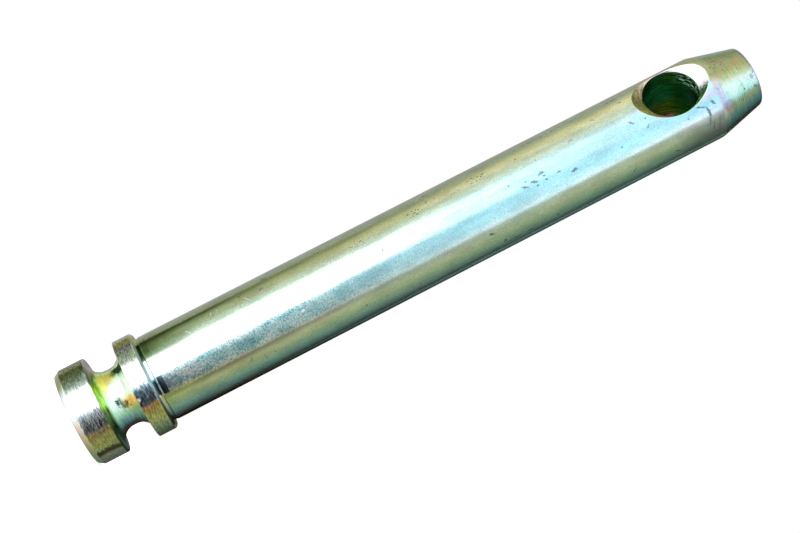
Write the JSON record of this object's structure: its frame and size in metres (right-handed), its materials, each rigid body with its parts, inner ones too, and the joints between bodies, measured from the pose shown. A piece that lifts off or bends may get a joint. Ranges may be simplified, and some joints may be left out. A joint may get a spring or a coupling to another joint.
{
  "type": "top link pin",
  "caption": "Straight round hitch pin with a grooved head, a stop collar, a countersunk cross hole for a linch pin and a tapered tip.",
  "frame": {"origin": "centre of the head's flat end, on the surface that the pin stands on", "axes": "+Z along the pin's axis from the head to the tapered tip; the cross hole runs along Y"},
  "size_m": [0.022, 0.022, 0.1611],
  "materials": {
    "plated_steel": "yellow-iridescent zinc plating over turned and drawn steel, semi-gloss, with pits and light scratches"
  },
  "bodies": {
    "root": {"link_pin": "plated_steel"}
  },
  "joints": []
}
